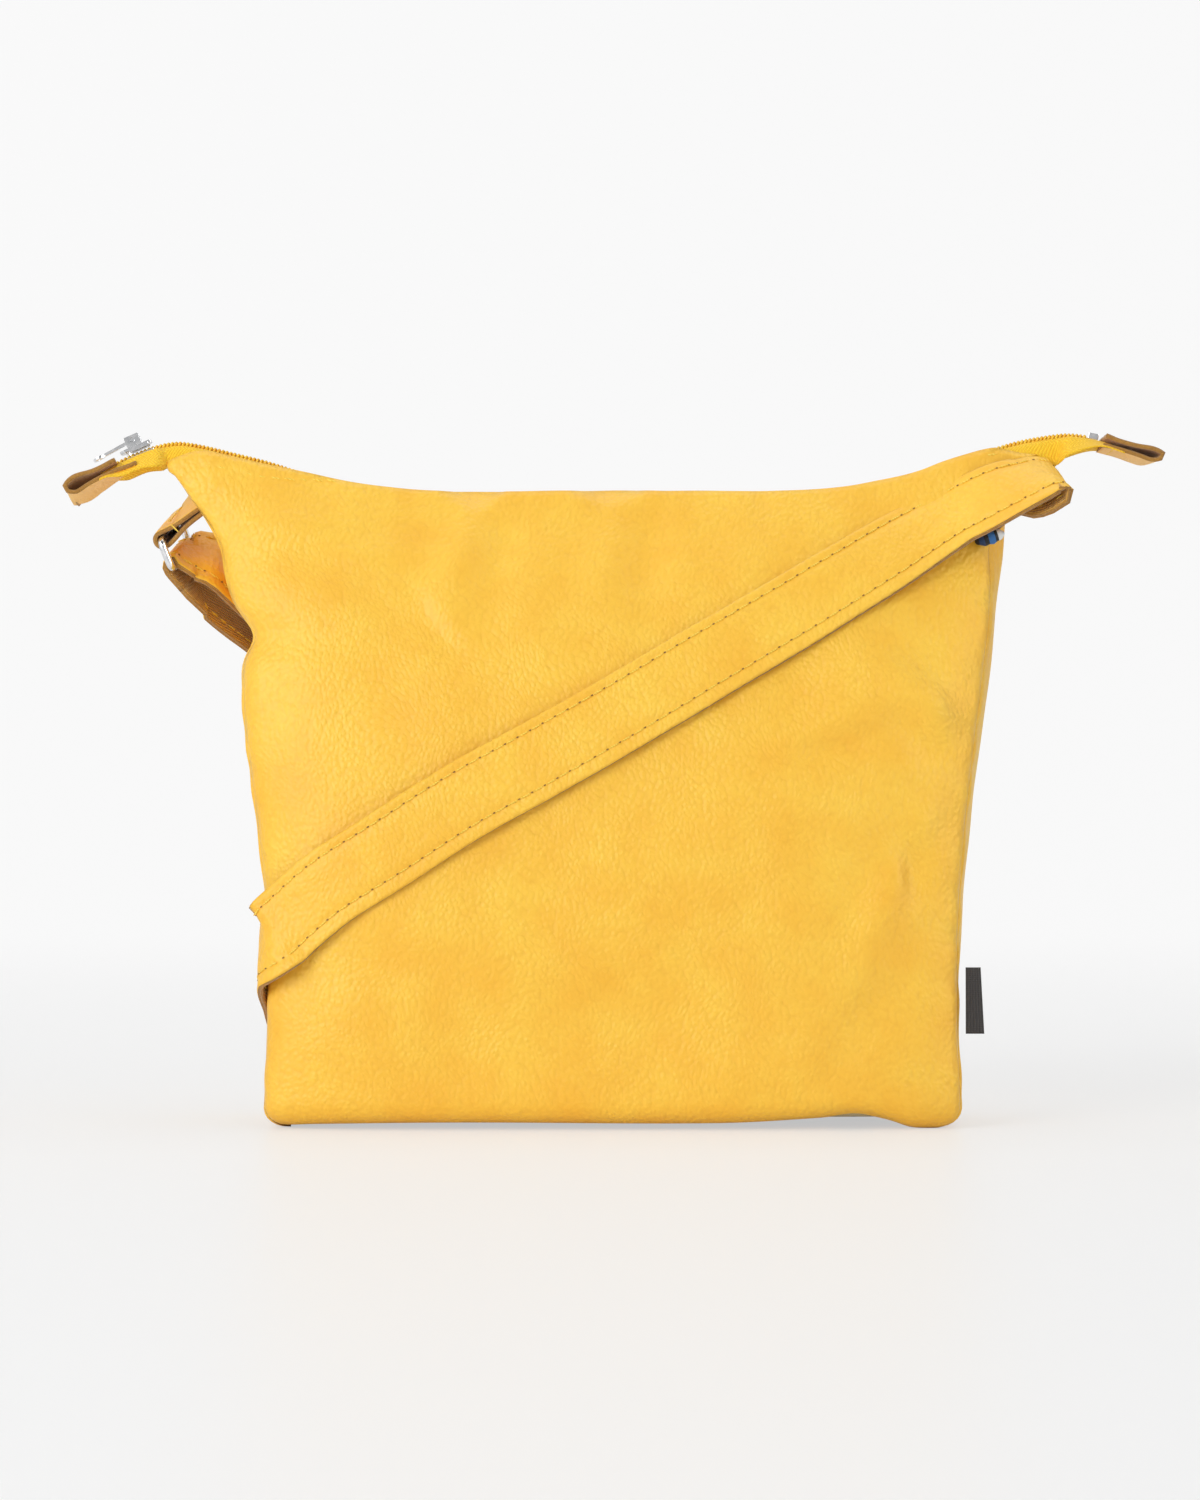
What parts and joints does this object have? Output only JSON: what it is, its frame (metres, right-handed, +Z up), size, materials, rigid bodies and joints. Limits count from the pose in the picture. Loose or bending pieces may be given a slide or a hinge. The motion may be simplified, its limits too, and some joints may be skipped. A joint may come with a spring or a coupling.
{
  "type": "shoulder bag",
  "caption": "Trapeze shoulder bag in soft leather with a zipped top, a flat strap folded round it, a rectangular strap ring and a sliding strap adjuster.",
  "frame": {"origin": "middle of the base, on the floor", "axes": "+X to the right as seen from the front, -Y out of the front panel, +Z up"},
  "size_m": [0.4244, 0.1264, 0.2666],
  "materials": {
    "leather": "pebbled, satin",
    "tab_leather": "raw suede",
    "webbing": "ribbed weave",
    "lining": "plain weave",
    "zip_tape": "herringbone weave",
    "zip_coil": "matte",
    "metal": "polished nickel plate",
    "label": "woven",
    "striped_tape": "striped cord"
  },
  "bodies": {
    "bag": {"front_panel": "leather", "back_panel": "leather", "left_gusset": "leather", "right_gusset": "leather", "base_panel": "leather", "front_facing": "leather", "back_facing": "leather", "lining_front": "lining", "lining_back": "lining", "lining_left": "lining", "lining_right": "lining", "lining_base": "lining", "slip_pocket": "lining", "zip_tape_front": "zip_tape", "zip_tape_back": "zip_tape", "zip_coil_front": "zip_coil", "zip_coil_back": "zip_coil", "zip_top_stops": "metal", "zip_bottom_stop": "metal", "end_tab_left": "tab_leather", "end_tab_right": "tab_leather", "ring_tab": "leather", "strap_leather": "leather", "strap_webbing": "webbing", "strap_tail": "leather", "strap_tail_webbing": "webbing", "side_label": "label", "seam_loop": "striped_tape"},
    "slider_pin": {"slider_pin": "metal"},
    "slider_body": {"slider_body": "metal"},
    "slider_pull": {"slider_pull": "metal"},
    "ring": {"strap_ring": "metal"},
    "adjuster": {"adjuster_frame": "metal", "adjuster_bar": "metal", "strap_end_loop": "leather"}
  },
  "joints": [
    {"name": "zip_travel", "type": "hinge", "parent": "bag", "child": "slider_pin", "pos_m": [-0.003, 0, 1.4557], "axis": [0, -1, 0], "range_deg": [0, 17], "deforming": ["zip_tape_front", "zip_tape_back", "zip_coil_front", "zip_coil_back"]},
    {"name": "slider_tilt", "type": "hinge", "parent": "slider_pin", "child": "slider_body", "pos_m": [-0.18452, 0, 0.26233], "axis": [0, -1, 0], "range_deg": [-48, 0]},
    {"name": "pull_swing", "type": "hinge", "parent": "slider_body", "child": "slider_pull", "pos_m": [-0.18452, 0, 0.26233], "axis": [0, 1, 0], "range_deg": [0, 150]},
    {"name": "ring_swing", "type": "hinge", "parent": "bag", "child": "ring", "pos_m": [-0.171, 0.011, 0.228], "axis": [0.1199, 0.9495, 0.2899], "range_deg": [-4, 4]},
    {"name": "adjuster_slide", "type": "slide", "parent": "bag", "child": "adjuster", "axis": [-0.7286, -0.1129, 0.6755], "range_m": [-0.05, 0.04], "deforming": ["strap_tail", "strap_tail_webbing"]}
  ],
  "couplings": [
    {"joint": "slider_tilt", "follows": "zip_travel", "ratio": -2.8}
  ]
}
